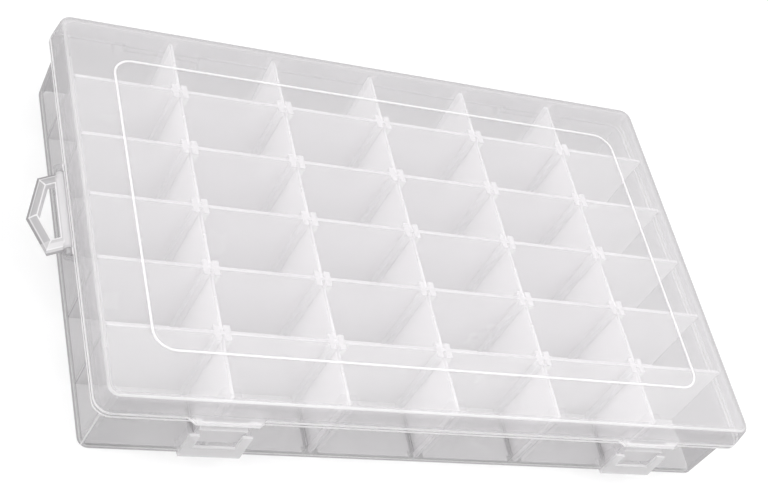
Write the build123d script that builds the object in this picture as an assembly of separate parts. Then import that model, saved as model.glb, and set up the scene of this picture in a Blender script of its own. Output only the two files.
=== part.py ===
from build123d import *
import math
import os

# Compartment storage box: a clear moulded tray with thirty lift-out dividers,
# a hinged snap lid and a swinging hang loop. Millimetres, +Z up, X along the
# length, -Y at the latches. The origin is the centre of the tray's underside.

# Overall sizes
LENGTH = 275.0  # over the lower edge of the lid, left to right
DEPTH = 177.0  # over the lower edge of the lid, front to back
HEIGHT = 40.0  # underside of the tray to the flat top of the lid
SEAM_Z = 30.0  # where the lid sits on the tray's rim flange

# Lid shell
LID_WALL = 1.2
LID_FLARE_X = 1.65  # how much wider each side is at the seam than at the top
LID_FLARE_Y = 0.65
LID_CORNER_TOP = 5.0
LID_CORNER_LOW = 6.2  # at the seam, also the rim flange's corner
LID_TOP_ROUND = 1.8
BEAD_X = 233.7  # raised stacking bead on the lid, along its centre line
BEAD_Y = 135.3
BEAD_CORNER = 8.0
BEAD_WIDTH = 0.9
BEAD_HEIGHT = 0.4

# Tray shell
TRAY_WALL = 1.4
TRAY_FLOOR = 1.4
TRAY_CORNER_TOP = 4.6
TRAY_CORNER_BOTTOM = 4.0
TRAY_FOOT_ROUND = 1.2
TRAY_DRAFT_X = 0.3  # how far each wall leans out from floor to top
TRAY_DRAFT_Y = 1.9
LID_GAP_X = 0.35  # side gap between the tray's walls and the lid
LID_GAP_Y = 0.75
LID_GAP_TOP = 0.2  # between the wall tops and the underside of the lid
FLANGE_THICK = 1.7

# Compartments
COLUMNS = 6
ROWS = 6
COLUMN_PITCH = 45.0
ROW_PITCH = 28.7
WALL_THICK = 1.4  # the long fixed walls
POST_WIDTH = 6.4  # each pair of guide ribs that holds a divider's edge
SLOT_DEPTH = 2.6
FOOT_RIB_WIDTH = 0.5  # the low ribs on both sides of a divider's foot
FOOT_RIB_HEIGHT = 0.8
DIVIDER_THICK = 1.2
DIVIDER_PLAY = 0.15
DIVIDER_DROP = 0.8  # divider tops lie below the wall tops
DIVIDER_CORNER = 1.0

# Lid hinges at the back
HINGE_X = 90.0
HINGE_WIDTH = 40.0  # over the two lugs of one hinge
HINGE_OUT = 1.1  # pin axis behind the rim flange
HINGE_DOWN = 3.0  # pin axis below the seam
LUG_THICK = 4.0
KNUCKLE_R = 2.6
PIN_R = 1.25
PIN_LENGTH = 3.6
PIN_PLAY = 0.05
SIDE_PLAY = 0.3

# Snap latches at the front
LATCH_X = 90.0
TAB_WIDTH = 24.0  # at its front, widening at 45 degrees to the skirt
TAB_OUT = 2.5  # the tab stands out from the lid's lower edge
TAB_TOP_Z = 37.0
TAB_FACE_Z = 32.0
TONGUE_WIDTH = 18.0
TONGUE_THICK = 1.4
TONGUE_BOTTOM_Z = 16.5
TONGUE_CORNER = 3.0
TONGUE_INSET = 0.9  # back face of the tongue inside the lid's lower edge
LIP_Z = 25.6
LIP_HEIGHT = 1.3
LIP_OUT = 1.4
SNAP_HEIGHT = 1.1
SNAP_DEPTH = 0.5
CATCH_WIDTH = 12.0
CATCH_TOP_Z = 21.0
CATCH_HEIGHT = 3.0
CATCH_GAP = 0.3
BRACKET_WIDTH = 23.6
BRACKET_WALL = 1.5
BRACKET_OUT = 2.9  # front of the bracket beyond the lid's lower edge
BRACKET_BOTTOM_Z = 10.0
BAR_HEIGHT = 6.0
EAR_FACE_WIDTH = 3.8  # each ear as seen from the front
EAR_TOP_Z = 23.5
EAR_SLOPE = 2.0
LATCH_PLAY = 0.7

# Hang loop on the left side
LOOP_OUT = 0.9  # pivot axis outside the rim flange
LOOP_DOWN = 3.8  # pivot axis below the seam
LOOP_DROOP = 32.7  # degrees below level, as it stands in the picture
LOOP_WIDTH = 34.9
LOOP_SHOULDER = 8.2  # pivot axis to the two outer corners
LOOP_REACH = 13.9  # pivot axis to the outer point
LOOP_ARM = 5.0
LOOP_POINT_ARM = 4.7
LOOP_THICK = 2.4
LOOP_BEVEL_WIDTH = 3.2
LOOP_BEVEL_DROP = 1.0
BARREL_R = 1.8
PEG_R = 1.0
PEG_LENGTH = 2.3
LOOP_LUG_THICK = 3.0
LOOP_LUG_R = 2.1

# Worked out from the sizes above
EPS = 0.01
WALL_TOP_Z = HEIGHT - LID_WALL - LID_GAP_TOP
LID_TOP_X = LENGTH - 2 * LID_FLARE_X
LID_TOP_Y = DEPTH - 2 * LID_FLARE_Y
TRAY_TOP_X = LID_TOP_X - 2 * (LID_WALL + LID_GAP_X)
TRAY_TOP_Y = LID_TOP_Y - 2 * (LID_WALL + LID_GAP_Y)
HINGE_Y = DEPTH / 2 + HINGE_OUT
HINGE_Z = SEAM_Z - HINGE_DOWN
KNUCKLE_HALF = HINGE_WIDTH / 2 - LUG_THICK - SIDE_PLAY
LOOP_X = -(LENGTH / 2 + LOOP_OUT)
LOOP_Z = SEAM_Z - LOOP_DOWN
SLOT_WIDTH = DIVIDER_THICK + 2 * DIVIDER_PLAY
FLANGE_Z = SEAM_Z - FLANGE_THICK
BRACKET_Y = DEPTH / 2 + BRACKET_OUT
TONGUE_Y = DEPTH / 2 - TONGUE_INSET


def plan(size_x, size_y, corner, z):
    """A rounded rectangle lying level at height z."""
    return Pos(0, 0, z) * RectangleRounded(size_x, size_y, corner)


def slab_x(points, x_from, x_to):
    """A block with the given Y, Z outline between two places along X."""
    outline = Plane.YZ.offset(x_from) * Polygon(*points, align=None)
    return extrude(outline, x_to - x_from, dir=(1, 0, 0))


def slab_y(points, y_from, y_to):
    """A block with the given X, Z outline between two places along Y."""
    outline = Plane.XZ.offset(-y_from) * Polygon(*points, align=None)
    return extrude(outline, y_to - y_from, dir=(0, 1, 0))


def rod_x(radius, x_from, x_to, y, z):
    """A round bar along X."""
    place = Pos((x_from + x_to) / 2, y, z) * Rot(0, 90, 0)
    return place * Cylinder(radius, abs(x_to - x_from))


def rod_y(radius, y_from, y_to, x, z):
    """A round bar along Y."""
    place = Pos(x, (y_from + y_to) / 2, z) * Rot(90, 0, 0)
    return place * Cylinder(radius, abs(y_to - y_from))


def brick(x_from, x_to, y_from, y_to, z_from, z_to):
    """A plain block between three pairs of places."""
    place = Pos((x_from + x_to) / 2, (y_from + y_to) / 2, (z_from + z_to) / 2)
    return place * Box(abs(x_to - x_from), abs(y_to - y_from), abs(z_to - z_from))


def tray_size(z):
    """Outer length and depth of the drafted tray walls at height z."""
    lean = 1 - z / WALL_TOP_Z
    return TRAY_TOP_X - 2 * TRAY_DRAFT_X * lean, TRAY_TOP_Y - 2 * TRAY_DRAFT_Y * lean


def tray_corner(z):
    """Outer corner radius of the tray at height z."""
    return TRAY_CORNER_BOTTOM + (TRAY_CORNER_TOP - TRAY_CORNER_BOTTOM) * z / WALL_TOP_Z


def tray_block(inset, z_from, z_to):
    """The solid that fills the tray's drafted outline, drawn in by inset."""
    sections = []
    for z in (z_from, z_to):
        size_x, size_y = tray_size(z)
        sections.append(plan(size_x - 2 * inset, size_y - 2 * inset, tray_corner(z) - inset, z))
    return loft(sections, ruled=True)


def column_x():
    """Places along X of the divider lines."""
    return [(i - (COLUMNS - 2) / 2) * COLUMN_PITCH for i in range(COLUMNS - 1)]


def row_y():
    """Places along Y of the long fixed walls, from the back to the front."""
    return [((ROWS - 2) / 2 - j) * ROW_PITCH for j in range(ROWS - 1)]


def inner_face_y(z):
    """Half the clear depth between the front and back walls at height z."""
    return tray_size(z)[1] / 2 - TRAY_WALL


def cell_walls(outline):
    """The long fixed walls, the guide ribs, and the low ribs at the dividers' feet."""
    posts = Sketch()
    slots = Sketch()
    end_y = inner_face_y(TRAY_FLOOR)
    for x in column_x():
        for y in row_y():
            posts += Pos(x, y) * Rectangle(POST_WIDTH, WALL_THICK + 2 * SLOT_DEPTH)
            slots += Pos(x, y) * Rectangle(SLOT_WIDTH, WALL_THICK + 2 * SLOT_DEPTH + 1)
        for side in (-1, 1):
            middle = side * (end_y - SLOT_DEPTH + DEPTH / 2) / 2
            span = DEPTH / 2 - end_y + SLOT_DEPTH
            posts += Pos(x, middle) * Rectangle(POST_WIDTH, span)
            slots += Pos(x, middle) * Rectangle(SLOT_WIDTH, span + 1)
    walls = posts - slots
    for y in row_y():
        walls += Pos(0, y) * Rectangle(TRAY_TOP_X, WALL_THICK)
    raised = extrude(Pos(0, 0, TRAY_FLOOR / 2) * walls, WALL_TOP_Z - TRAY_FLOOR / 2)
    feet = Sketch()
    for x in column_x():
        feet += Pos(x, 0) * Rectangle(SLOT_WIDTH + 2 * FOOT_RIB_WIDTH, DEPTH)
        feet -= Pos(x, 0) * Rectangle(SLOT_WIDTH, DEPTH)
    raised += extrude(Pos(0, 0, TRAY_FLOOR / 2) * feet, TRAY_FLOOR / 2 + FOOT_RIB_HEIGHT)
    return raised & outline


def hinge_lugs(centre):
    """Two lugs with inward pegs that carry one end of the lid."""
    parts = []
    for side in (-1, 1):
        outer = centre + side * HINGE_WIDTH / 2
        inner = outer - side * LUG_THICK
        low, high = min(outer, inner), max(outer, inner)
        web = brick(low, high, TRAY_TOP_Y / 2 - TRAY_WALL, HINGE_Y, HINGE_Z - KNUCKLE_R, FLANGE_Z + EPS)
        parts.append(web + rod_x(KNUCKLE_R, low, high, HINGE_Y, HINGE_Z))
        tip = inner - side * PIN_LENGTH
        parts.append(rod_x(PIN_R, tip, inner, HINGE_Y, HINGE_Z))
    return parts


def latch_bracket(centre):
    """Two ears and a bar that guard the tongue, and the catch behind it."""
    parts = []
    half = BRACKET_WIDTH / 2
    wall_y = tray_size(BRACKET_BOTTOM_Z)[1] / 2 - TRAY_WALL / 2
    ear = [
        (-wall_y, BRACKET_BOTTOM_Z),
        (-BRACKET_Y, BRACKET_BOTTOM_Z),
        (-BRACKET_Y, EAR_TOP_Z),
        (-wall_y, EAR_TOP_Z - EAR_SLOPE),
    ]
    for side in (-1, 1):
        edge = centre + side * half
        inner = edge - side * BRACKET_WALL
        parts.append(slab_x(ear, min(edge, inner), max(edge, inner)))
    bar_top = BRACKET_BOTTOM_Z + BAR_HEIGHT
    gap = half - EAR_FACE_WIDTH
    face = [
        (centre - half, BRACKET_BOTTOM_Z),
        (centre + half, BRACKET_BOTTOM_Z),
        (centre + half, EAR_TOP_Z),
        (centre + gap, EAR_TOP_Z),
        (centre + gap, bar_top),
        (centre - gap, bar_top),
        (centre - gap, EAR_TOP_Z),
        (centre - half, EAR_TOP_Z),
    ]
    parts.append(slab_y(face, -BRACKET_Y, BRACKET_WALL - BRACKET_Y))
    catch_y = TONGUE_Y - SNAP_DEPTH - CATCH_GAP
    catch = [
        (-wall_y, CATCH_TOP_Z + CATCH_HEIGHT),
        (-wall_y, CATCH_TOP_Z - CATCH_HEIGHT),
        (-catch_y, CATCH_TOP_Z - CATCH_HEIGHT),
        (-catch_y, CATCH_TOP_Z - CATCH_HEIGHT / 2),
    ]
    parts.append(slab_x(catch, centre - CATCH_WIDTH / 2, centre + CATCH_WIDTH / 2))
    return parts


def loop_lugs():
    """Two lugs under the rim flange that hold the hang loop's pegs."""
    parts = []
    wall_x = tray_size(LOOP_Z)[0] / 2 - TRAY_WALL / 2
    web = [
        (-wall_x, FLANGE_Z + EPS),
        (-wall_x, LOOP_Z - 2 * LOOP_LUG_R),
        (LOOP_X + LOOP_LUG_R / 2, LOOP_Z - LOOP_LUG_R * math.cos(math.radians(30))),
        (LOOP_X, LOOP_Z),
        (LOOP_X - EPS, FLANGE_Z + EPS),
    ]
    for side in (-1, 1):
        near = side * (LOOP_WIDTH / 2 + SIDE_PLAY)
        far = near + side * LOOP_LUG_THICK
        low, high = min(near, far), max(near, far)
        lug = slab_y(web, low, high) + rod_y(LOOP_LUG_R, low, high, LOOP_X, LOOP_Z)
        parts.append(lug - rod_y(PEG_R + PIN_PLAY, low - 1, high + 1, LOOP_X, LOOP_Z))
    return parts


def base_tray():
    """The tray: shell, floor, rim flange, fixed walls and everything moulded on."""
    outline = tray_block(0, 0, WALL_TOP_Z)
    body = fillet(outline.edges().group_by(Axis.Z)[0], TRAY_FOOT_ROUND)
    flange = extrude(plan(LENGTH, DEPTH, LID_CORNER_LOW, FLANGE_Z), FLANGE_THICK)
    stub_y = TRAY_TOP_Y / 2 + SIDE_PLAY
    for side in (-1, 1):
        gap = HINGE_WIDTH / 2 - LUG_THICK
        centre = side * HINGE_X
        flange -= brick(centre - gap, centre + gap, stub_y, DEPTH, FLANGE_Z - 1, SEAM_Z + 1)
        gap = TONGUE_WIDTH / 2 + LATCH_PLAY
        centre = side * LATCH_X
        flange -= brick(centre - gap, centre + gap, -DEPTH, -stub_y, FLANGE_Z - 1, SEAM_Z + 1)
    body += flange
    for side in (-1, 1):
        body += hinge_lugs(side * HINGE_X)
        body += latch_bracket(side * LATCH_X)
    body += loop_lugs()
    body -= tray_block(TRAY_WALL, TRAY_FLOOR, WALL_TOP_Z + 1)
    body += cell_walls(tray_block(TRAY_WALL / 2, TRAY_FLOOR / 2, WALL_TOP_Z))
    return body


def divider(row, column):
    """One lift-out divider between two long walls, or a wall and the shell."""
    x = column_x()[column]
    low_z = TRAY_FLOOR + DIVIDER_PLAY
    high_z = WALL_TOP_Z - DIVIDER_DROP
    lines = row_y()

    def far_edge(z):
        if row == 0:
            return inner_face_y(z) - DIVIDER_PLAY
        return lines[row - 1] - WALL_THICK / 2 - DIVIDER_PLAY

    def near_edge(z):
        if row == ROWS - 1:
            return -inner_face_y(z) + DIVIDER_PLAY
        return lines[row] + WALL_THICK / 2 + DIVIDER_PLAY

    shoulder = high_z - DIVIDER_CORNER
    points = [
        (near_edge(low_z), low_z),
        (far_edge(low_z), low_z),
        (far_edge(shoulder), shoulder),
        (far_edge(shoulder) - DIVIDER_CORNER, high_z),
        (near_edge(shoulder) + DIVIDER_CORNER, high_z),
        (near_edge(shoulder), shoulder),
    ]
    return slab_x(points, x - DIVIDER_THICK / 2, x + DIVIDER_THICK / 2)


def lid_shell():
    """The lid's flat top and flared skirt, with the stacking bead."""
    outer_low = plan(LENGTH, DEPTH, LID_CORNER_LOW, SEAM_Z)
    outer_high = plan(LID_TOP_X, LID_TOP_Y, LID_CORNER_TOP, HEIGHT)
    outer = loft([outer_low, outer_high], ruled=True)
    outer = fillet(outer.edges().group_by(Axis.Z)[-1], LID_TOP_ROUND)
    slope_x = LID_FLARE_X * LID_WALL / (HEIGHT - SEAM_Z)
    slope_y = LID_FLARE_Y * LID_WALL / (HEIGHT - SEAM_Z)
    inner_low = plan(LENGTH - 2 * LID_WALL, DEPTH - 2 * LID_WALL, LID_CORNER_LOW - LID_WALL, SEAM_Z)
    inner_high = plan(
        LID_TOP_X + 2 * slope_x - 2 * LID_WALL,
        LID_TOP_Y + 2 * slope_y - 2 * LID_WALL,
        LID_CORNER_TOP - LID_WALL,
        HEIGHT - LID_WALL,
    )
    shell = outer - loft([inner_low, inner_high], ruled=True)
    half = BEAD_WIDTH / 2
    ring = plan(BEAD_X + BEAD_WIDTH, BEAD_Y + BEAD_WIDTH, BEAD_CORNER + half, HEIGHT - LID_WALL / 2)
    ring -= plan(BEAD_X - BEAD_WIDTH, BEAD_Y - BEAD_WIDTH, BEAD_CORNER - half, HEIGHT - LID_WALL / 2)
    return shell + extrude(ring, BEAD_HEIGHT + LID_WALL / 2)


def latch_tab(centre):
    """The flared tab with its hanging tongue, finger lip and snap bead."""
    edge_y = DEPTH / 2
    root_y = edge_y - LID_WALL
    rise = (TAB_TOP_Z - SEAM_Z) / (HEIGHT - SEAM_Z)
    wedge = [
        (-root_y, SEAM_Z),
        (-edge_y - TAB_OUT, SEAM_Z),
        (-edge_y - TAB_OUT, TAB_FACE_Z),
        (-edge_y + LID_FLARE_Y * rise, TAB_TOP_Z),
        (-root_y + LID_FLARE_Y * rise, TAB_TOP_Z),
    ]
    root_half = TAB_WIDTH / 2 + TAB_OUT
    outline = [
        (centre - root_half, -root_y + EPS),
        (centre - root_half, -edge_y),
        (centre - TAB_WIDTH / 2, -edge_y - TAB_OUT),
        (centre + TAB_WIDTH / 2, -edge_y - TAB_OUT),
        (centre + root_half, -edge_y),
        (centre + root_half, -root_y + EPS),
    ]
    tab = slab_x(wedge, centre - root_half, centre + root_half)
    tab &= extrude(Pos(0, 0, SEAM_Z) * Polygon(*outline, align=None), HEIGHT - SEAM_Z, dir=(0, 0, 1))
    half = TONGUE_WIDTH / 2
    front_y = TONGUE_Y + TONGUE_THICK
    tongue = brick(centre - half, centre + half, -front_y, -TONGUE_Y, TONGUE_BOTTOM_Z, SEAM_Z + EPS)
    low_corners = tongue.edges().filter_by(Axis.Y).group_by(Axis.Z)[0]
    tongue = fillet(low_corners, TONGUE_CORNER)
    lip = [
        (-front_y + EPS, LIP_Z + LIP_HEIGHT),
        (-front_y - LIP_OUT, LIP_Z + LIP_HEIGHT / 2),
        (-front_y - LIP_OUT, LIP_Z),
        (-front_y + EPS, LIP_Z),
    ]
    snap_z = CATCH_TOP_Z - CATCH_HEIGHT - CATCH_GAP
    snap = [
        (-TONGUE_Y - EPS, snap_z),
        (-TONGUE_Y + SNAP_DEPTH, snap_z - SNAP_HEIGHT / 2),
        (-TONGUE_Y - EPS, snap_z - SNAP_HEIGHT),
    ]
    tongue += slab_x(lip, centre - half, centre + half)
    tongue += slab_x(snap, centre - CATCH_WIDTH / 2, centre + CATCH_WIDTH / 2)
    return [tab, tongue]


def lid_knuckle(centre):
    """The barrel that turns on the tray's pegs, with its web to the skirt."""
    root_y = DEPTH / 2 - LID_WALL
    rise = 2 * LID_WALL
    web = [
        (root_y, SEAM_Z),
        (root_y, SEAM_Z + rise),
        (DEPTH / 2 - LID_FLARE_Y * rise / (HEIGHT - SEAM_Z), SEAM_Z + rise),
        (HINGE_Y + KNUCKLE_R * math.cos(math.radians(30)), HINGE_Z + KNUCKLE_R / 2),
        (HINGE_Y, HINGE_Z),
        (HINGE_Y - KNUCKLE_R * math.cos(math.radians(20)), HINGE_Z + KNUCKLE_R * math.sin(math.radians(20))),
    ]
    low, high = centre - KNUCKLE_HALF, centre + KNUCKLE_HALF
    barrel = slab_x(web, low, high) + rod_x(KNUCKLE_R, low, high, HINGE_Y, HINGE_Z)
    return barrel - rod_x(PIN_R + PIN_PLAY, low - 1, high + 1, HINGE_Y, HINGE_Z)


def lid():
    """The whole lid as one moulding."""
    body = lid_shell()
    for side in (-1, 1):
        body += latch_tab(side * LATCH_X)
        body += lid_knuckle(side * HINGE_X)
    return body


def hanging_loop():
    """The five-sided hang loop with its barrel and two end pegs."""
    droop = math.radians(LOOP_DROOP)
    frame = Plane(
        origin=(LOOP_X, 0, LOOP_Z),
        x_dir=(-math.cos(droop), 0, -math.sin(droop)),
        z_dir=(-math.sin(droop), 0, math.cos(droop)),
    )
    half = LOOP_WIDTH / 2
    lean = (LOOP_REACH - LOOP_SHOULDER) / half

    def house(inset, z):
        """The five-sided outline at height z, drawn in on its four outer sides."""
        point = LOOP_REACH - inset * math.hypot(1, lean)
        side = half - inset
        corner = point - side * lean
        outline = [(0, -side), (corner, -side), (point, 0), (corner, side), (0, side)]
        return Pos(0, 0, z) * Polygon(*outline, align=None)

    plate_low = BARREL_R - LOOP_THICK
    bevel_low = BARREL_R - LOOP_BEVEL_DROP
    plate = extrude(house(0, plate_low), LOOP_THICK - LOOP_BEVEL_DROP)
    plate += loft([house(0, bevel_low), house(LOOP_BEVEL_WIDTH, BARREL_R)], ruled=True)
    gap_half = half - LOOP_ARM
    gap_point = LOOP_REACH - LOOP_POINT_ARM
    gap_start = BARREL_R
    gap_shoulder = gap_point - gap_half * lean
    hole = [
        (gap_start, -gap_half),
        (gap_shoulder, -gap_half),
        (gap_point, 0),
        (gap_shoulder, gap_half),
        (gap_start, gap_half),
    ]
    cut = extrude(Pos(0, 0, plate_low - 1) * Polygon(*hole, align=None), LOOP_THICK + 2)
    body = plate - cut
    body += rod_y(BARREL_R, -half, half, 0, 0)
    body += rod_y(PEG_R, -half - PEG_LENGTH, half + PEG_LENGTH, 0, 0)
    return frame * body


def write_step(shape, node):
    """Writes one sub-part under its node's name."""
    export_step(shape, f"parts/{node}.step")


os.makedirs("parts", exist_ok=True)
write_step(base_tray(), "base_tray")
write_step(lid(), "lid")
write_step(hanging_loop(), "hanging_loop")
for r in range(ROWS):
    for c in range(COLUMNS - 1):
        write_step(divider(r, c), f"divider_r{r + 1}_c{c + 1}")
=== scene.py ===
import math

import bpy
from mathutils import Matrix, Vector


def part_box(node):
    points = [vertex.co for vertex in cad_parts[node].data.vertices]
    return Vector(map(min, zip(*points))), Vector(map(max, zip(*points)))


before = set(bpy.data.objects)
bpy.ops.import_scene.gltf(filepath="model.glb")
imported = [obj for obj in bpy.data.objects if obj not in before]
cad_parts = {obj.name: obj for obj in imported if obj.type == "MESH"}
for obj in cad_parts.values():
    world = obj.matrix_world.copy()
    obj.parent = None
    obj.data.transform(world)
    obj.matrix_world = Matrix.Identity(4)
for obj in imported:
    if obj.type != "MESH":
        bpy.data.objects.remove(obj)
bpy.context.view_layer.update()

# The view
# The box is looked at from the front left and from above, close enough that
# its far corner narrows, with the camera rolled so that its long side climbs.
LENS_MM = 76.85
SENSOR_MM = 36.0
CAMERA_AT = Vector((-0.30573, -0.37517, 0.48052))
CAMERA_HEADING = 40.269
CAMERA_DIP = 42.442
CAMERA_ROLL = 36.267
CAMERA_SHIFT = -0.0599
CAMERA_NEAR = 0.01

view_turn = Matrix.Rotation(math.radians(-CAMERA_HEADING), 4, "Z")
view_turn @= Matrix.Rotation(math.radians(90 - CAMERA_DIP), 4, "X")
view_turn @= Matrix.Rotation(math.radians(CAMERA_ROLL), 4, "Z")
camera = bpy.data.objects.new("camera", bpy.data.cameras.new("camera"))
camera.data.lens = LENS_MM
camera.data.sensor_width = SENSOR_MM
camera.data.sensor_fit = "HORIZONTAL"
camera.data.shift_x = CAMERA_SHIFT
camera.data.clip_start = CAMERA_NEAR
camera.matrix_world = Matrix.Translation(CAMERA_AT) @ view_turn
scene = bpy.context.scene
scene.collection.objects.link(camera)
scene.camera = camera
scene.view_settings.view_transform = "Standard"

# The table and the light
# A pale table in a room that is bright overhead, with a large window far to
# the left, a lamp over the right half and a narrow one for the front edges.
TABLE_WIDE = 8.0
TABLE_COLOUR = (0.5, 0.5, 0.5, 1)
TABLE_GLOW = (0.46, 0.46, 0.46, 1)
TABLE_BOUNCE = (0.6, 0.6, 0.6, 1)
# Painted shade: the table shows this flat grey where it is seen through the plastic.
TABLE_BEHIND = (0.45, 0.44, 0.45, 1)
ROOM_LOW = 0.1
ROOM_HIGH = 1.0
ROOM_HIGH_FROM = 0.8  # the upward part of the direction from which the room is at its brightest


class Amount:
    """A number that varies over a surface. Arithmetic on it adds Math nodes."""

    def __init__(self, finish, socket):
        self.finish = finish
        self.socket = socket

    def _maths(self, operation, *values):
        inputs = dict(enumerate(values))
        node = self.finish.node("ShaderNodeMath", {"operation": operation}, inputs)
        return Amount(self.finish, node.outputs[0])

    def __add__(self, other):
        return self._maths("ADD", self, other)

    def __sub__(self, other):
        return self._maths("SUBTRACT", self, other)

    def __rsub__(self, other):
        return self._maths("SUBTRACT", other, self)

    def __mul__(self, other):
        return self._maths("MULTIPLY", self, other)

    def __pow__(self, other):
        return self._maths("POWER", self, other)

    def __abs__(self):
        return self._maths("ABSOLUTE", self)

    __radd__ = __add__
    __rmul__ = __mul__

    def over(self, other):
        """The larger of the two."""
        return self._maths("MAXIMUM", self, other)

    def under(self, other):
        """The smaller of the two."""
        return self._maths("MINIMUM", self, other)

    def from_nearest(self, pitch):
        """The distance to the nearest of a row of places, one pitch apart, with one at 0."""
        return abs(self._maths("WRAP", self, pitch / 2, -pitch / 2))

    def along(self, pitch):
        """How far past the last of a row of places, one pitch apart, with one at 0."""
        return self._maths("WRAP", self, pitch, 0.0)

    def rise(self, start, end):
        """0 before start, 1 after end, and a smooth step between them."""
        settings = {"interpolation_type": "SMOOTHSTEP"}
        inputs = {"Value": self, "From Min": start, "From Max": end}
        node = self.finish.node("ShaderNodeMapRange", settings, inputs)
        return Amount(self.finish, node.outputs["Result"])

    def fall(self, start, end):
        """1 before start, 0 after end, and a smooth step between them."""
        return 1 - self.rise(start, end)

    def to(self, low, high):
        """low where this is 0, and high where it is 1."""
        return low + self * (high - low)


class Finish:
    """The nodes of a new material, or of the world."""

    def __init__(self, owner):
        self.owner = owner
        self.owner.use_nodes = True
        self.tree = owner.node_tree
        self.tree.nodes.clear()

    def node(self, kind, settings, inputs):
        """A node of a kind, its settings first, then its sockets' values or links."""
        node = self.tree.nodes.new(kind)
        for name, value in settings.items():
            setattr(node, name, value)
        for name, value in inputs.items():
            if isinstance(value, Amount):
                value = value.socket
            if isinstance(value, bpy.types.NodeSocket):
                self.tree.links.new(value, node.inputs[name])
            else:
                node.inputs[name].default_value = value
        return node

    def mix(self, factor, first, second):
        """A shader between two, by a factor that may vary."""
        inputs = {0: factor, 1: first.outputs[0], 2: second.outputs[0]}
        return self.node("ShaderNodeMixShader", {}, inputs)

    def show(self, surface):
        """Makes a shader the one that the surface shows."""
        self.node("ShaderNodeOutputMaterial", {}, {"Surface": surface.outputs[0]})
        return self.owner


def seen_directly(finish):
    """1 for what the camera sees, straight or in gloss and glass, and 0 for light that bounces."""
    path = finish.node("ShaderNodeLightPath", {}, {})
    seen = Amount(finish, path.outputs["Is Camera Ray"])
    seen = seen.over(Amount(finish, path.outputs["Is Glossy Ray"]))
    return seen.over(Amount(finish, path.outputs["Is Transmission Ray"]))


def seen_through(finish):
    """1 for what is seen through at least one skin of clear plastic."""
    path = finish.node("ShaderNodeLightPath", {}, {})
    return Amount(finish, path.outputs["Transparent Depth"]).under(1)


def pale_table():
    """White where it is seen, with a soft shadow, grey for bounced light, and a painted flat grey shade where
    it is seen through the plastic.
    """
    finish = Finish(bpy.data.materials.new("pale table"))
    lit = finish.node("ShaderNodeBsdfDiffuse", {}, {"Color": TABLE_COLOUR})
    glow = finish.node("ShaderNodeEmission", {}, {"Color": TABLE_GLOW, "Strength": 1.0})
    white = finish.node("ShaderNodeAddShader", {}, {0: lit.outputs[0], 1: glow.outputs[0]})
    behind = finish.node("ShaderNodeEmission", {}, {"Color": TABLE_BEHIND, "Strength": 1.0})
    grey = finish.node("ShaderNodeBsdfDiffuse", {}, {"Color": TABLE_BOUNCE})
    seen = finish.mix(seen_through(finish), white, behind)
    return finish.show(finish.mix(seen_directly(finish), grey, seen))


def bright_room():
    """A room that is bright overhead and dimmer low down, and white where it is seen."""
    finish = Finish(bpy.data.worlds.new("room"))
    way = finish.node("ShaderNodeTexCoord", {}, {}).outputs["Generated"]
    height = Amount(finish, finish.node("ShaderNodeSeparateXYZ", {}, {0: way}).outputs[2])
    light = height.rise(0.0, ROOM_HIGH_FROM).to(ROOM_LOW, ROOM_HIGH)
    inputs = {"Color": (1, 1, 1, 1), "Strength": seen_directly(finish).to(light, 1)}
    background = finish.node("ShaderNodeBackground", {}, inputs)
    finish.node("ShaderNodeOutputWorld", {}, {"Surface": background.outputs[0]})
    return finish.owner


def soft_box(name, place, aim, width, height, watts):
    """A rectangular lamp at a place, turned to face another."""
    lamp = bpy.data.lights.new(name, "AREA")
    lamp.shape = "RECTANGLE"
    lamp.size = width
    lamp.size_y = height
    lamp.energy = watts
    holder = bpy.data.objects.new(name, lamp)
    holder.location = place
    holder.rotation_euler = (Vector(aim) - Vector(place)).to_track_quat("-Z", "Y").to_euler()
    scene.collection.objects.link(holder)


for loaded in bpy.context.selected_objects:
    loaded.select_set(False)
bpy.ops.mesh.primitive_plane_add(size=TABLE_WIDE)
table = bpy.context.object
table.name = "table"
table.data.materials.append(pale_table())
scene.world = bright_room()
soft_box("window", place=(-2.2, -0.2, 2.3), aim=(0, 0, 0), width=2.0, height=1.5, watts=38)
soft_box("overhead", place=(0.3, -0.25, 0.8), aim=(0.05, -0.03, 0), width=0.7, height=0.6, watts=3.0)
soft_box("front edge", place=(-0.1, -1.1, 0.7), aim=(0, 0, 0), width=1.0, height=0.25, watts=0.5)

# The tray
# One moulding in clear milky plastic: floor, walls, the long partitions with
# their guide ribs, and the latch brackets and lugs. Its edges have painted
# highlights, partly the milkier look of thick plastic.
MM = 0.001
TRAY_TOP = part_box("base_tray")[1].z
FLOOR_TOP = 1.4 * MM
SEAM = 30.0 * MM
FLANGE_LOW = 28.3 * MM
FLANGE_LINE = 0.8 * MM
RIM_HALF_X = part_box("lid")[1].x
RIM_HALF_Y = 88.5 * MM
RIM_CORNER = 6.2 * MM
WALL_HALF_X = 134.0 * MM
WALL_HALF_Y = 84.0 * MM
WALL_LEAN_Y = 1.9 / 38.6
WALL_SKIN = 1.2 * MM
FOOT_CORNER = 4.0 * MM
COLUMN_PITCH = (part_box("divider_r1_c5")[1].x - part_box("divider_r1_c1")[1].x) / 4
ROW_PITCH = (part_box("divider_r2_c1")[1].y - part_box("divider_r5_c1")[1].y) / 3
POST_HALF = 3.2 * MM
POST_REACH = 3.3 * MM
END_POST_Y = 79.2 * MM  # where the guide ribs of the front and back walls begin
FOOT_HALF = 2.3 * MM
FOOT_TOP = 2.3 * MM
LATCH_X = 90.0 * MM
BRACKET_HALF = 12.0 * MM
BRACKET_BACK_Y = -87.0 * MM
BAR_BACK_Y = -90.5 * MM
EDGE_FADE = 0.5 * MM

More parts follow.
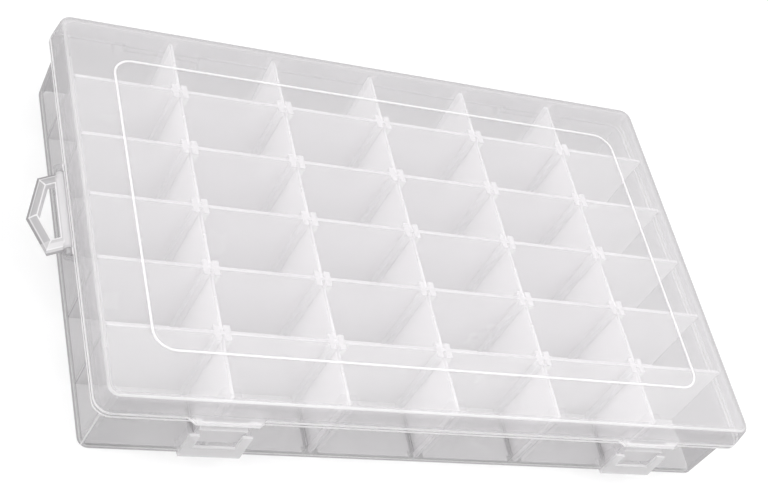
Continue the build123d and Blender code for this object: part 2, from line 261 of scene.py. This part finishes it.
# How much one skin hides, of 1.
WALL_COVER = 0.16
END_POST_COVER = 0.04
INNER_COVER = 0.54  # what the floor and the partitions add to that
INNER_TOP_COVER = 0.14
FRONT_LEFT_COVER = 0.12
FOOT_COVER = 0.8
# How much a skin hides under its painted highlights.
HIGHLIGHT_COVER = 0.95

TRAY_TINT = (0.93, 0.92, 0.93, 1)
# The pale tint of painted highlights, then the dark tint of painted shade.
HIGHLIGHT_TINT = (0.97, 0.96, 0.97, 1)
SHADE_TINT = (0.42, 0.41, 0.42, 1)

# The patterns in the plastic, by how many of them a metre holds.
CLOUD_SCALE = 35.0
WAVE_SCALE = 60.0
GRAIN_SCALE = 2600.0
BUMP_STRENGTH = 0.12
BUMP_HEIGHT = 0.2 * MM


def noise(finish, place, scale, detail):
    """A soft pattern over the piece, mostly between 0 and 1."""
    inputs = {"Vector": place, "Scale": scale, "Detail": detail, "Roughness": 0.5}
    pattern = finish.node("ShaderNodeTexNoise", {}, inputs)
    inputs = {"Value": pattern.outputs["Fac"], "From Min": 0.3, "From Max": 0.7}
    spread = finish.node("ShaderNodeMapRange", {"clamp": False}, inputs)
    return Amount(finish, spread.outputs["Result"])


def blend(finish, factor, first, second):
    """A colour between two, by a factor that varies."""
    node = finish.node("ShaderNodeMix", {"data_type": "RGBA"}, {"Factor": factor})
    for name, value in (("A", first), ("B", second)):
        socket = next(s for s in node.inputs if s.name == name and s.type == "RGBA")
        if isinstance(value, tuple):
            socket.default_value = value
        else:
            finish.tree.links.new(value, socket)
    return next(s for s in node.outputs if s.type == "RGBA")


def clear_plastic(name, tint, cover, painted_highlights, shade, lit_through, roughness, ior):
    """Milky clear moulded plastic.

    cover is how much one skin hides, the whitening mask its painted highlights,
    partly the milkier look of thick plastic, the shade mask its painted shade,
    and lit_through the share of its light that comes from behind.
    """
    finish = Finish(bpy.data.materials.new(name))
    place = finish.node("ShaderNodeTexCoord", {}, {}).outputs["Object"]
    split = finish.node("ShaderNodeSeparateXYZ", {}, {0: place})
    x, y, z = (Amount(finish, split.outputs[i]) for i in range(3))
    cloud = noise(finish, place, CLOUD_SCALE, 3.0)
    waves = noise(finish, place, WAVE_SCALE, 1.0)
    grain = noise(finish, place, GRAIN_SCALE, 2.0)
    white = painted_highlights(x, y, z)
    skin = cover(x, y, z) * cloud.to(0.96, 1.04)
    # Painted shade pulls the tint towards the dark tint, and painted highlights pull it towards the pale one.
    tinted = blend(finish, shade(x, y, z), tint, SHADE_TINT)
    colour = blend(finish, white, tinted, HIGHLIGHT_TINT)
    inputs = {"Strength": BUMP_STRENGTH, "Distance": BUMP_HEIGHT, "Height": grain * 0.1 + waves}
    bumps = finish.node("ShaderNodeBump", {}, inputs).outputs[0]
    inputs = {"Base Color": colour, "Roughness": roughness + cloud * 0.06, "IOR": ior, "Normal": bumps}
    surface = finish.node("ShaderNodeBsdfPrincipled", {}, inputs)
    glow = finish.node("ShaderNodeBsdfTranslucent", {}, {"Color": colour, "Normal": bumps})
    milky = finish.mix(lit_through, surface, glow)
    clear = finish.node("ShaderNodeBsdfTransparent", {}, {})
    # Under painted highlights a skin hides nearly all that is behind it.
    return finish.show(finish.mix(white.to(skin, HIGHLIGHT_COVER), clear, milky))


def past_outline(x, y, half_x, half_y, corner):
    """How far outside a rounded rectangle a place lies, negative inside."""
    over_x = abs(x) - (half_x - corner)
    over_y = abs(y) - (half_y - corner)
    corner_reach = (over_x.over(0) ** 2 + over_y.over(0) ** 2) ** 0.5
    return corner_reach + over_x.over(over_y).under(0) - corner


def on_top(z, height):
    """1 on the face that looks up at a height."""
    return z.rise(height - 0.3 * MM, height - 0.1 * MM)


def at_inner(value, pitch):
    """1 at the five inner ones of a row of seven walls, one pitch apart, and 0 at the outer two."""
    return abs(value).fall(2.3 * pitch, 2.4 * pitch)


def inside_walls(x, y, z):
    """1 on the floor and the partitions, 0 on the outer walls and what is moulded on them."""
    past = past_outline(x, y, WALL_HALF_X, WALL_HALF_Y + z * WALL_LEAN_Y, FOOT_CORNER)
    return past.fall(-WALL_SKIN - 0.8 * MM, -WALL_SKIN)


def at_posts(x, y):
    """1 where a pair of guide ribs stands at a partition or at an end wall, between the columns."""
    near_column = x.from_nearest(COLUMN_PITCH).fall(POST_HALF, POST_HALF + EDGE_FADE)
    near_row = y.from_nearest(ROW_PITCH).fall(POST_REACH, POST_REACH + EDGE_FADE)
    near_end = abs(y).rise(END_POST_Y, END_POST_Y + 0.6 * MM)
    return near_column * near_row.over(near_end) * at_inner(x, COLUMN_PITCH)


def at_foot(x, y, z):
    """1 at the foot of each divider in the front row, where it shows through the front wall; it places a
    painted dark strip.
    """
    near = x.from_nearest(COLUMN_PITCH).fall(FOOT_HALF - 0.3 * MM, FOOT_HALF) * at_inner(x, COLUMN_PITCH)
    front_row = y.rise(-80.5 * MM, -79.5 * MM) * y.fall(-70 * MM, -62 * MM)
    return near * front_row * z.fall(FOOT_TOP, FOOT_TOP + 0.2 * MM)


def at_latch(x, y, back_y):
    """1 within the width of a latch bracket, in front of a depth."""
    beside = abs(abs(x) - LATCH_X).fall(BRACKET_HALF, BRACKET_HALF + EDGE_FADE)
    return beside * y.fall(back_y, back_y + EDGE_FADE)


def at_left(x):
    """1 at the left end of the box."""
    return x.fall(-130 * MM, -100 * MM)


def tray_cover(x, y, z):
    """The floor and the partitions hide more than outer walls, top edges and the end walls' ribs."""
    inside = inside_walls(x, y, z)
    end_posts = at_posts(x, y) * inside * (1 - at_inner(y, ROW_PITCH))
    floor = z.fall(FLOOR_TOP, FLOOR_TOP + 0.4 * MM)
    filled = inside * floor.over(end_posts.to(1, 0.05)) * on_top(z, TRAY_TOP).to(INNER_COVER, INNER_TOP_COVER)
    # The front wall's left end hides more, so that its painted shade shows more.
    front_left = at_left(x) * y.fall(-82 * MM, -80 * MM) * FRONT_LEFT_COVER
    cover = end_posts.to(WALL_COVER, END_POST_COVER) + filled + front_left
    return cover.over(inside * at_foot(x, y, z) * FOOT_COVER)


def tray_highlights(x, y, z):
    """Painted highlights on wall tops, guide ribs (partly their thicker, milkier plastic) and the flange's
    lower edge, a painted glint on each corner, and lighter latch bars.
    """
    posts = at_posts(x, y)
    inner_row = at_inner(y, ROW_PITCH)
    top = on_top(z, TRAY_TOP)
    # The wall tops' painted highlight fades along each cell, away from its left end.
    past_column = x.along(COLUMN_PITCH).rise(5 * MM, 42 * MM)
    tops = top * past_column.to(0.35, 0.05) * inner_row.to(0.3, 1) * posts.to(1, 0.1)
    post_ends = posts * inner_row * z.rise(12 * MM, 34 * MM) * top.to(0.55, 0.25)
    past_rim = past_outline(x, y, RIM_HALF_X, RIM_HALF_Y, RIM_CORNER)
    flange = past_rim.rise(-0.6 * MM, -0.2 * MM) * past_rim.fall(0.2 * MM, 0.4 * MM)
    flange = flange * z.rise(FLANGE_LOW - 0.1 * MM, FLANGE_LOW)
    flange = flange * z.fall(FLANGE_LOW + FLANGE_LINE, FLANGE_LOW + FLANGE_LINE + 0.2 * MM)
    # A painted glint down the middle of each rounded corner.
    over_x = abs(x) - (WALL_HALF_X - FOOT_CORNER)
    over_y = abs(y) - (WALL_HALF_Y - FOOT_CORNER) - z * WALL_LEAN_Y
    corner = abs(over_x - over_y).fall(0.3 * MM, 0.7 * MM) * over_x.rise(1.8 * MM, 2.4 * MM)
    corner = corner * z.fall(FLANGE_LOW - 0.2 * MM, FLANGE_LOW)
    bars = at_latch(x, y, BAR_BACK_Y)
    return tops.over(post_ends).over(flange).over(corner * 0.7).over(bars * 0.45)


def tray_shade(x, y, z):
    """Painted shade on the outer walls, most at the left and the back, and a painted dark strip at the feet
    of the front row's dividers.
    """
    inside = inside_walls(x, y, z)
    bare_wall = (1 - inside) * (1 - at_latch(x, y, BRACKET_BACK_Y))
    at_back = y.rise(80 * MM, 84 * MM)
    walls = bare_wall * at_left(x).over(at_back).to(0.32, 0.72)
    return walls.over(inside * at_foot(x, y, z) * 0.8)


def dressed(node, material):
    """Gives a piece of the CAD model its one material."""
    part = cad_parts[node]
    part.data.materials.clear()
    part.data.materials.append(material)


tray_plastic = clear_plastic(
    "tray plastic", TRAY_TINT, tray_cover, tray_highlights, tray_shade,
    lit_through=0.15, roughness=0.22, ior=1.6,
)
dressed("base_tray", tray_plastic)

# The dividers
# Thirty thin flat plates that slide down between the guide ribs, one between
# each two cells of a row, in the same milky plastic, satin on both faces.
DIVIDER_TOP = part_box("divider_r3_c3")[1].z
DIVIDER_COVER = 0.7
# Paler than the tray's tint, though the same plastic: painted light that makes the divider faces read
# brighter than the floor.
DIVIDER_TINT = (0.98, 0.97, 0.98, 1)


def divider_cover(x, y, z):
    """Milkier towards the top, apart from the thin top edge."""
    return DIVIDER_COVER + z.rise(2 * MM, 34 * MM) * on_top(z, DIVIDER_TOP).to(0.2, -0.6)


def divider_highlights(x, y, z):
    """A painted highlight on the top edge, brightest at its front end."""
    past_partition = y.along(ROW_PITCH).rise(5 * MM, 20 * MM)
    return z.rise(DIVIDER_TOP - 0.6 * MM, DIVIDER_TOP - 0.1 * MM) * past_partition.to(0.6, 0.1)


divider_plastic = clear_plastic(
    "divider plastic", DIVIDER_TINT, divider_cover, divider_highlights, at_foot,
    lit_through=0.3, roughness=0.3, ior=1.6,
)
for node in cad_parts:
    if node.startswith("divider"):
        dressed(node, divider_plastic)

# The lid
# One clear moulding that snaps over the tray: a flat top with a thin raised
# bead, a rounded edge and a short skirt, with two tabs and tongues in front.
LID_TOP = 40.0 * MM
LID_HALF_X = RIM_HALF_X - 1.65 * MM  # at the top, from where the skirt flares out to the seam
LID_HALF_Y = RIM_HALF_Y - 0.65 * MM
LID_CORNER = RIM_CORNER - 1.2 * MM
LID_FLARE_X = 1.65 / 10
LID_FLARE_Y = 0.65 / 10
LID_FLARE_CORNER = 1.2 / 10
TAB_HALF = 14.5 * MM
TAB_BACK_Y = -88.2 * MM
BACK_SKIRT_Y = 85.0 * MM
LID_COVER = 0.23
BACK_SKIRT_COVER = 0.4
LID_TINT = (0.98, 0.97, 0.98, 1)


def past_lid(x, y, z):
    """How far outside the lid's flaring skirt a place lies."""
    drop = LID_TOP - z
    half_x = LID_HALF_X + drop * LID_FLARE_X
    half_y = LID_HALF_Y + drop * LID_FLARE_Y
    return past_outline(x, y, half_x, half_y, LID_CORNER + drop * LID_FLARE_CORNER)


def at_back_skirt(y):
    """1 on the skirt along the back."""
    return y.rise(BACK_SKIRT_Y, BACK_SKIRT_Y + MM)


def lid_cover(x, y, z):
    """The skirt at the back, which stands behind two more skins, hides the most."""
    return LID_COVER + z.fall(37.5 * MM, 39 * MM) * at_back_skirt(y) * BACK_SKIRT_COVER


def lid_highlights(x, y, z):
    """Painted highlights on the raised bead, the rounded top edge (strongest at the front) and the lower
    edge's line; the latch tabs and the back are made lighter.
    """
    bead = z.rise(LID_TOP + 0.05 * MM, LID_TOP + 0.2 * MM)
    past = past_lid(x, y, z)
    rounding = past.rise(-1.6 * MM, -1.3 * MM) * past.fall(-0.7 * MM, -0.4 * MM)
    rounding = rounding * z.rise(38.2 * MM, 39.2 * MM) * y.fall(-88 * MM, -80 * MM).to(0.12, 0.35)
    lower = past.rise(-0.6 * MM, -0.2 * MM)
    lower = lower * z.rise(SEAM - 0.5 * MM, SEAM) * z.fall(SEAM + MM, SEAM + 1.2 * MM)
    tabs = abs(abs(x) - LATCH_X).fall(TAB_HALF - MM, TAB_HALF)
    tabs = tabs * y.fall(TAB_BACK_Y, TAB_BACK_Y + 0.2 * MM)
    tabs = tabs * z.rise(29 * MM, 31 * MM).to(0.34, 0.14) * z.rise(30 * MM, 37 * MM).to(1, 0.4)
    back = at_back_skirt(y) * z.fall(38 * MM, 39 * MM) * 0.15
    return (bead * 0.8).over(rounding.over(lower)).over(tabs).over(back)


def lid_shade(x, y, z):
    """The skirt, below the rounded edge."""
    return z.fall(38 * MM, 39 * MM) * 0.2


lid_plastic = clear_plastic(
    "lid plastic", LID_TINT, lid_cover, lid_highlights, lid_shade,
    lit_through=0.25, roughness=0.16, ior=1.8,
)
dressed("lid", lid_plastic)

# The hang loop
# A five-sided ring with a bevelled face that swings on two small pegs at the
# left side, moulded by itself in the same plastic and snapped into its lugs.
LOOP_X = -138.4 * MM
LOOP_Z = 26.2 * MM
LOOP_DROOP = math.radians(32.7)
LOOP_HALF = 17.45 * MM
LOOP_REACH = 13.9 * MM
LOOP_LEAN = 5.7 / 17.45  # of the two sides that meet at the point
LEAN_SQUARE = 0.95  # turns a distance outwards into one square to those sides
HOLE_HALF = 12.45 * MM
HOLE_REACH = 9.2 * MM
HOLE_START = 1.8 * MM
MITRE_OUT = 5.13 * MM  # where the shoulders' mitres meet the opening's sides
MITRE_SLOPE = 1.63
LOOP_COVER = 0.6


def loop_out(x, z):
    """How far out from its pegs a place on the drooping loop lies."""
    return (x - LOOP_X) * -math.cos(LOOP_DROOP) + (z - LOOP_Z) * -math.sin(LOOP_DROOP)


def past_house(out, side, half, reach):
    """How far a place lies outside a five-sided outline with its point at reach."""
    return (abs(side) - half).over((out + abs(side) * LOOP_LEAN - reach) * LEAN_SQUARE)


def loop_cover(x, y, z):
    """The same all over."""
    return LOOP_COVER


def loop_highlights(x, y, z):
    """Painted highlights on the edges of the opening, a line inside the bevel, the mitres, the front arm's
    facet and the barrel.
    """
    out = loop_out(x, z)
    past_hole = past_house(out, y, HOLE_HALF, HOLE_REACH).over(HOLE_START - out)
    past_loop = past_house(out, y, LOOP_HALF, LOOP_REACH)
    hole_edge = past_hole.fall(0.4 * MM, 0.7 * MM)
    bevel = abs(past_loop + 1.2 * MM).fall(0.15 * MM, 0.4 * MM)
    tip = abs(y).fall(0.25 * MM, 0.5 * MM)
    shoulders = abs(abs(y) - HOLE_HALF - (out - MITRE_OUT) * MITRE_SLOPE).fall(0.4 * MM, 0.7 * MM)
    on_face = past_hole.rise(-0.1 * MM, 0) * past_loop.fall(-0.9 * MM, -0.8 * MM)
    mitres = tip.over(shoulders) * on_face * out.rise(4.8 * MM, 5 * MM)
    # Painted light on the front arm's facet and on the barrel, which would otherwise sit in shade.
    front_arm = y.fall(-13 * MM, -12.6 * MM)
    barrel = out.fall(0.5 * MM, 2 * MM)
    lines = (hole_edge * 0.8).over(bevel * 0.55).over(mitres * 0.8)
    return lines.over(front_arm * 0.35).over(barrel * 0.6)


def loop_shade(x, y, z):
    """All of it, and most the outer part of the bevel and the sides."""
    return past_house(loop_out(x, z), y, LOOP_HALF, LOOP_REACH).rise(-1.1 * MM, -0.9 * MM).to(0.6, 1)


loop_plastic = clear_plastic(
    "loop plastic", DIVIDER_TINT, loop_cover, loop_highlights, loop_shade,
    lit_through=0.25, roughness=0.2, ior=1.7,
)
dressed("hanging_loop", loop_plastic)

# Light has to get through many skins, and to bounce often between pale walls.
scene.cycles.transparent_max_bounces = 48
scene.cycles.diffuse_bounces = 8
